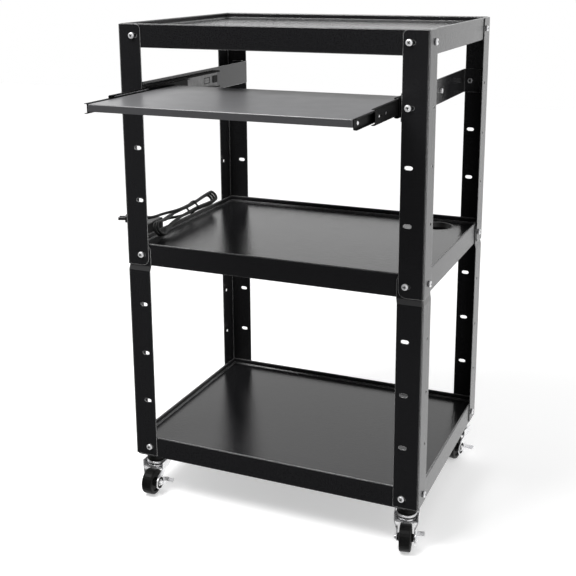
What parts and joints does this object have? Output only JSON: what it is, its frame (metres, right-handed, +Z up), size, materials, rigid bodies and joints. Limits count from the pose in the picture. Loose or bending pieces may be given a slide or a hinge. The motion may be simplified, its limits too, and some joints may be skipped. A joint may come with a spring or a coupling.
{
  "type": "audio visual cart",
  "caption": "Black steel rolling equipment cart with tray shelves, slotted angle legs, pull-out keyboard tray, side power box with hanked cord and braked swivel casters.",
  "frame": {"origin": "on the floor, under the middle of the bounding box of the cart with its tray drawn out, power cord left out", "axes": "+X to the cart's right as seen from the front, +Y to its back, +Z up; the keyboard tray slides out along -Y"},
  "size_m": [0.68, 0.6632, 0.9773],
  "materials": {
    "black_powder_coat": "satin black powder coat on sheet steel",
    "black_slide_steel": "thin smooth black finish on rolled steel",
    "bright_zinc": "bright zinc plate",
    "black_rubber": "plain black rubber",
    "black_plastic": "moulded black plastic",
    "cord_jacket": "flexible black cord jacket"
  },
  "bodies": {
    "cart_frame": {"top_shelf": "black_powder_coat", "middle_shelf": "black_powder_coat", "bottom_shelf": "black_powder_coat", "front_left_upper_leg": "black_powder_coat", "front_left_lower_leg": "black_powder_coat", "front_left_stem_socket": "black_powder_coat", "front_left_caster_head": "bright_zinc", "front_right_upper_leg": "black_powder_coat", "front_right_lower_leg": "black_powder_coat", "front_right_stem_socket": "black_powder_coat", "front_right_caster_head": "bright_zinc", "rear_left_upper_leg": "black_powder_coat", "rear_left_lower_leg": "black_powder_coat", "rear_left_stem_socket": "black_powder_coat", "rear_left_caster_head": "bright_zinc", "rear_right_upper_leg": "black_powder_coat", "rear_right_lower_leg": "black_powder_coat", "rear_right_stem_socket": "black_powder_coat", "rear_right_caster_head": "bright_zinc", "left_slide_bracket": "black_powder_coat", "left_slide_outer": "black_slide_steel", "left_slide_bumper": "black_rubber", "right_slide_bracket": "black_powder_coat", "right_slide_outer": "black_slide_steel", "right_slide_bumper": "black_rubber", "cable_grommet": "black_plastic", "power_box_housing": "black_plastic", "outlet_plate": "black_plastic", "cord_strain_relief": "black_rubber", "cord_lead": "cord_jacket", "cord_hank": "cord_jacket", "cord_tail": "cord_jacket", "cord_tie": "black_rubber", "plug": "black_plastic"},
    "tray": {"keyboard_tray": "black_powder_coat", "left_slide_inner": "black_slide_steel", "right_slide_inner": "black_slide_steel"},
    "left_intermediate_body": {"left_slide_intermediate": "black_slide_steel"},
    "left_outer_ball_cage_body": {"left_outer_ball_cage": "bright_zinc"},
    "left_inner_ball_cage_body": {"left_inner_ball_cage": "bright_zinc"},
    "right_intermediate_body": {"right_slide_intermediate": "black_slide_steel"},
    "right_outer_ball_cage_body": {"right_outer_ball_cage": "bright_zinc"},
    "right_inner_ball_cage_body": {"right_inner_ball_cage": "bright_zinc"},
    "front_left_swivel": {"front_left_fork": "bright_zinc", "front_left_axle": "bright_zinc"},
    "front_left_wheel_body": {"front_left_wheel": "black_rubber"},
    "front_left_brake": {"front_left_brake_lever": "bright_zinc"},
    "front_right_swivel": {"front_right_fork": "bright_zinc", "front_right_axle": "bright_zinc"},
    "front_right_wheel_body": {"front_right_wheel": "black_rubber"},
    "front_right_brake": {"front_right_brake_lever": "bright_zinc"},
    "rear_left_swivel": {"rear_left_fork": "bright_zinc", "rear_left_axle": "bright_zinc"},
    "rear_left_wheel_body": {"rear_left_wheel": "black_rubber"},
    "rear_left_brake": {"rear_left_brake_lever": "bright_zinc"},
    "rear_right_swivel": {"rear_right_fork": "bright_zinc", "rear_right_axle": "bright_zinc"},
    "rear_right_wheel_body": {"rear_right_wheel": "black_rubber"},
    "rear_right_brake": {"rear_right_brake_lever": "bright_zinc"}
  },
  "joints": [
    {"name": "tray_slide", "type": "slide", "parent": "cart_frame", "child": "tray", "axis": [0, -1, 0], "range_m": [-0.207, 0.09]},
    {"name": "left_intermediate_slide", "type": "slide", "parent": "cart_frame", "child": "left_intermediate_body", "axis": [0, -1, 0], "range_m": [-0.13091, 0.0572]},
    {"name": "left_outer_ball_cage_slide", "type": "slide", "parent": "cart_frame", "child": "left_outer_ball_cage_body", "axis": [0, -1, 0], "range_m": [-0.0657, 0.02885]},
    {"name": "left_inner_ball_cage_slide", "type": "slide", "parent": "cart_frame", "child": "left_inner_ball_cage_body", "axis": [0, -1, 0], "range_m": [-0.1692, 0.07385]},
    {"name": "right_intermediate_slide", "type": "slide", "parent": "cart_frame", "child": "right_intermediate_body", "axis": [0, -1, 0], "range_m": [-0.13091, 0.0572]},
    {"name": "right_outer_ball_cage_slide", "type": "slide", "parent": "cart_frame", "child": "right_outer_ball_cage_body", "axis": [0, -1, 0], "range_m": [-0.0657, 0.02885]},
    {"name": "right_inner_ball_cage_slide", "type": "slide", "parent": "cart_frame", "child": "right_inner_ball_cage_body", "axis": [0, -1, 0], "range_m": [-0.1692, 0.07385]},
    {"name": "front_left_caster_swivel", "type": "hinge", "parent": "cart_frame", "child": "front_left_swivel", "pos_m": [-0.25723, -0.09865, 0.0566], "axis": [0, 0, 1], "continuous": true},
    {"name": "front_left_wheel_spin", "type": "hinge", "parent": "front_left_swivel", "child": "front_left_wheel_body", "pos_m": [-0.25684, -0.12145, 0.0265], "axis": [0.9998, 0.0175, 0], "continuous": true},
    {"name": "front_left_brake_press", "type": "hinge", "parent": "front_left_swivel", "child": "front_left_brake", "pos_m": [-0.25684, -0.12145, 0.0265], "axis": [-0.9998, -0.0175, 0], "range_deg": [-6, 15]},
    {"name": "front_right_caster_swivel", "type": "hinge", "parent": "cart_frame", "child": "front_right_swivel", "pos_m": [0.29276, -0.09865, 0.0566], "axis": [0, 0, 1], "continuous": true},
    {"name": "front_right_wheel_spin", "type": "hinge", "parent": "front_right_swivel", "child": "front_right_wheel_body", "pos_m": [0.29751, -0.12095, 0.0265], "axis": [0.9781, 0.2079, 0], "continuous": true},
    {"name": "front_right_brake_press", "type": "hinge", "parent": "front_right_swivel", "child": "front_right_brake", "pos_m": [0.29751, -0.12095, 0.0265], "axis": [-0.9781, -0.2079, 0], "range_deg": [-6, 15]},
    {"name": "rear_left_caster_swivel", "type": "hinge", "parent": "cart_frame", "child": "rear_left_swivel", "pos_m": [-0.25723, 0.29835, 0.0566], "axis": [0, 0, 1], "continuous": true},
    {"name": "rear_left_wheel_spin", "type": "hinge", "parent": "rear_left_swivel", "child": "rear_left_wheel_body", "pos_m": [-0.25485, 0.27568, 0.0265], "axis": [0.9945, 0.1045, 0], "continuous": true},
    {"name": "rear_left_brake_press", "type": "hinge", "parent": "rear_left_swivel", "child": "rear_left_brake", "pos_m": [-0.25485, 0.27568, 0.0265], "axis": [-0.9945, -0.1045, 0], "range_deg": [-6, 15]},
    {"name": "rear_right_caster_swivel", "type": "hinge", "parent": "cart_frame", "child": "rear_right_swivel", "pos_m": [0.29276, 0.29835, 0.0566], "axis": [0, 0, 1], "continuous": true},
    {"name": "rear_right_wheel_spin", "type": "hinge", "parent": "rear_right_swivel", "child": "rear_right_wheel_body", "pos_m": [0.28881, 0.2759, 0.0265], "axis": [0.9848, -0.1736, 0], "continuous": true},
    {"name": "rear_right_brake_press", "type": "hinge", "parent": "rear_right_swivel", "child": "rear_right_brake", "pos_m": [0.28881, 0.2759, 0.0265], "axis": [-0.9848, 0.1736, 0], "range_deg": [-6, 15]}
  ],
  "couplings": [
    {"joint": "left_intermediate_slide", "follows": "tray_slide", "ratio": 0.63},
    {"joint": "left_outer_ball_cage_slide", "follows": "tray_slide", "ratio": 0.315},
    {"joint": "left_inner_ball_cage_slide", "follows": "tray_slide", "ratio": 0.815},
    {"joint": "right_intermediate_slide", "follows": "tray_slide", "ratio": 0.63},
    {"joint": "right_outer_ball_cage_slide", "follows": "tray_slide", "ratio": 0.315},
    {"joint": "right_inner_ball_cage_slide", "follows": "tray_slide", "ratio": 0.815}
  ]
}
